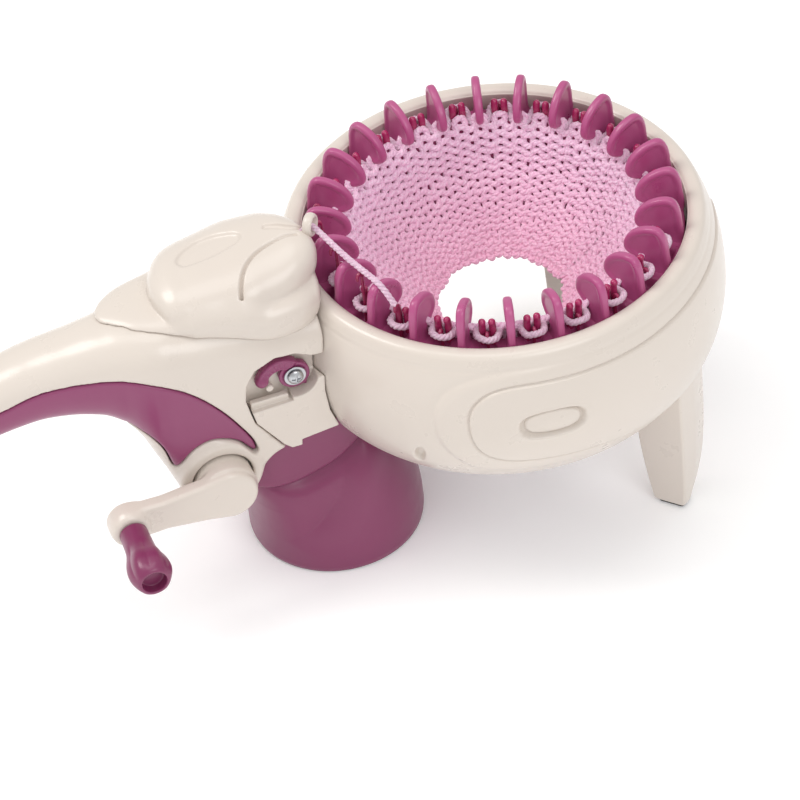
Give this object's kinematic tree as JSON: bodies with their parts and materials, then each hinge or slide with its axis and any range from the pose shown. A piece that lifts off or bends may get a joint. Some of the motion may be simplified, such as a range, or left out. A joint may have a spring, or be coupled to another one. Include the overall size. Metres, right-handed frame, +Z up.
{
  "type": "circular knitting machine",
  "caption": "Hand-cranked circular knitting machine: a ring of hooked needles in a turning bed, geared to a side crank on the arm, standing on two legs and a round foot.",
  "frame": {"origin": "centre of the footprint box, on the plane that the pads stand on", "axes": "+Z up along the knitting ring's axis; the arm and handle run from the ring towards -X; the crank's axis is parallel to Y and its handle is on the -Y side"},
  "size_m": [0.4082, 0.2169, 0.1862],
  "materials": {
    "cream_plastic": "smooth satin gloss",
    "inner_plastic": "fine moulded matte",
    "purple_plastic": "satin gloss",
    "bed_plastic": "satin gloss",
    "needle_plastic": "gloss",
    "gear_plastic": "self-coloured acetal",
    "steel": "turned, bright",
    "bronze": "sintered",
    "pad_rubber": "matte",
    "yarn": "soft brushed yarn"
  },
  "bodies": {
    "frame": {"ring_housing": "cream_plastic", "badge_plate": "cream_plastic", "base_ring": "inner_plastic", "cam_ring": "inner_plastic", "neck_bracket": "cream_plastic", "arm_housing": "cream_plastic", "arm_rear_cover": "cream_plastic", "cover_screw_1": "steel", "cover_screw_2": "steel", "grip_insert": "purple_plastic", "pod_cover": "cream_plastic", "yarn_eyelet": "cream_plastic", "gear_plate": "inner_plastic", "idler_shaft": "steel", "drive_shaft": "steel", "crank_bush": "bronze", "shaft_bracket": "inner_plastic", "lever_screw": "steel", "leg_front": "cream_plastic", "leg_rear": "cream_plastic", "leg_pad_front": "pad_rubber", "leg_pad_rear": "pad_rubber", "foot": "purple_plastic", "foot_pad": "pad_rubber", "yarn_strand": "yarn"},
    "bed": {"needle_bed": "bed_plastic", "knit_tube": "yarn"},
    "needle_01": {"needle_01": "needle_plastic"},
    "needle_02": {"needle_02": "needle_plastic"},
    "needle_03": {"needle_03": "needle_plastic"},
    "needle_04": {"needle_04": "needle_plastic"},
    "needle_05": {"needle_05": "needle_plastic"},
    "needle_06": {"needle_06": "needle_plastic"},
    "needle_07": {"needle_07": "needle_plastic"},
    "needle_08": {"needle_08": "needle_plastic"},
    "needle_09": {"needle_09": "needle_plastic"},
    "needle_10": {"needle_10": "needle_plastic"},
    "needle_11": {"needle_11": "needle_plastic"},
    "needle_12": {"needle_12": "needle_plastic"},
    "needle_13": {"needle_13": "needle_plastic"},
    "needle_14": {"needle_14": "needle_plastic"},
    "needle_15": {"needle_15": "needle_plastic"},
    "needle_16": {"needle_16": "needle_plastic"},
    "needle_17": {"needle_17": "needle_plastic"},
    "needle_18": {"needle_18": "needle_plastic"},
    "needle_19": {"needle_19": "needle_plastic"},
    "needle_20": {"needle_20": "needle_plastic"},
    "needle_21": {"needle_21": "needle_plastic"},
    "needle_22": {"needle_22": "needle_plastic"},
    "needle_23": {"needle_23": "needle_plastic"},
    "needle_24": {"needle_24": "needle_plastic"},
    "idler": {"idler_gear": "gear_plastic"},
    "drive": {"drive_gear": "gear_plastic"},
    "crank": {"crank_shaft": "steel", "crank_pinion": "gear_plastic", "crank_arm": "cream_plastic", "knob_pin": "steel"},
    "knob": {"crank_knob": "purple_plastic"},
    "lever": {"mode_lever": "purple_plastic", "lever_washer": "steel"}
  },
  "joints": [
    {"name": "bed_turn", "type": "hinge", "parent": "frame", "child": "bed", "pos_m": [0.09555, 0, 0.093], "axis": [0, 0, 1], "continuous": true},
    {"name": "idler_spin", "type": "hinge", "parent": "frame", "child": "idler", "pos_m": [-0.01545, 0, 0.093], "axis": [0, 0, 1], "continuous": true},
    {"name": "drive_spin", "type": "hinge", "parent": "frame", "child": "drive", "pos_m": [-0.06195, 0, 0.093], "axis": [0, 0, 1], "continuous": true},
    {"name": "crank_turn", "type": "hinge", "parent": "frame", "child": "crank", "pos_m": [-0.06195, -0.048, 0.074], "axis": [0, 1, 0], "continuous": true},
    {"name": "knob_spin", "type": "hinge", "parent": "crank", "child": "knob", "pos_m": [-0.11195, -0.075, 0.074], "axis": [0, 1, 0], "continuous": true},
    {"name": "lever_swing", "type": "hinge", "parent": "frame", "child": "lever", "pos_m": [-0.01945, -0.033, 0.1206], "axis": [0, 1, 0], "range_deg": [0, 24]},
    {"name": "needle_01_lift", "type": "slide", "parent": "bed", "child": "needle_01", "axis": [0, 0, 1], "range_m": [0, 0.018]},
    {"name": "needle_02_lift", "type": "slide", "parent": "bed", "child": "needle_02", "axis": [0, 0, 1], "range_m": [0, 0.018]},
    {"name": "needle_03_lift", "type": "slide", "parent": "bed", "child": "needle_03", "axis": [0, 0, 1], "range_m": [0, 0.018]},
    {"name": "needle_04_lift", "type": "slide", "parent": "bed", "child": "needle_04", "axis": [0, 0, 1], "range_m": [0, 0.018]},
    {"name": "needle_05_lift", "type": "slide", "parent": "bed", "child": "needle_05", "axis": [0, 0, 1], "range_m": [0, 0.018]},
    {"name": "needle_06_lift", "type": "slide", "parent": "bed", "child": "needle_06", "axis": [0, 0, 1], "range_m": [0, 0.018]},
    {"name": "needle_07_lift", "type": "slide", "parent": "bed", "child": "needle_07", "axis": [0, 0, 1], "range_m": [0, 0.018]},
    {"name": "needle_08_lift", "type": "slide", "parent": "bed", "child": "needle_08", "axis": [0, 0, 1], "range_m": [0, 0.018]},
    {"name": "needle_09_lift", "type": "slide", "parent": "bed", "child": "needle_09", "axis": [0, 0, 1], "range_m": [0, 0.018]},
    {"name": "needle_10_lift", "type": "slide", "parent": "bed", "child": "needle_10", "axis": [0, 0, 1], "range_m": [0, 0.018]},
    {"name": "needle_11_lift", "type": "slide", "parent": "bed", "child": "needle_11", "axis": [0, 0, 1], "range_m": [-0.009, 0.009]},
    {"name": "needle_12_lift", "type": "slide", "parent": "bed", "child": "needle_12", "axis": [0, 0, 1], "range_m": [-0.017, 0.001]},
    {"name": "needle_13_lift", "type": "slide", "parent": "bed", "child": "needle_13", "axis": [0, 0, 1], "range_m": [-0.018, 0]},
    {"name": "needle_14_lift", "type": "slide", "parent": "bed", "child": "needle_14", "axis": [0, 0, 1], "range_m": [-0.017, 0.001]},
    {"name": "needle_15_lift", "type": "slide", "parent": "bed", "child": "needle_15", "axis": [0, 0, 1], "range_m": [-0.009, 0.009]},
    {"name": "needle_16_lift", "type": "slide", "parent": "bed", "child": "needle_16", "axis": [0, 0, 1], "range_m": [0, 0.018]},
    {"name": "needle_17_lift", "type": "slide", "parent": "bed", "child": "needle_17", "axis": [0, 0, 1], "range_m": [0, 0.018]},
    {"name": "needle_18_lift", "type": "slide", "parent": "bed", "child": "needle_18", "axis": [0, 0, 1], "range_m": [0, 0.018]},
    {"name": "needle_19_lift", "type": "slide", "parent": "bed", "child": "needle_19", "axis": [0, 0, 1], "range_m": [0, 0.018]},
    {"name": "needle_20_lift", "type": "slide", "parent": "bed", "child": "needle_20", "axis": [0, 0, 1], "range_m": [0, 0.018]},
    {"name": "needle_21_lift", "type": "slide", "parent": "bed", "child": "needle_21", "axis": [0, 0, 1], "range_m": [0, 0.018]},
    {"name": "needle_22_lift", "type": "slide", "parent": "bed", "child": "needle_22", "axis": [0, 0, 1], "range_m": [0, 0.018]},
    {"name": "needle_23_lift", "type": "slide", "parent": "bed", "child": "needle_23", "axis": [0, 0, 1], "range_m": [0, 0.018]},
    {"name": "needle_24_lift", "type": "slide", "parent": "bed", "child": "needle_24", "axis": [0, 0, 1], "range_m": [0, 0.018]}
  ],
  "couplings": [
    {"joint": "idler_spin", "follows": "bed_turn", "ratio": -3.625},
    {"joint": "drive_spin", "follows": "bed_turn", "ratio": 3.8667},
    {"joint": "crank_turn", "follows": "bed_turn", "ratio": 5.4133}
  ]
}
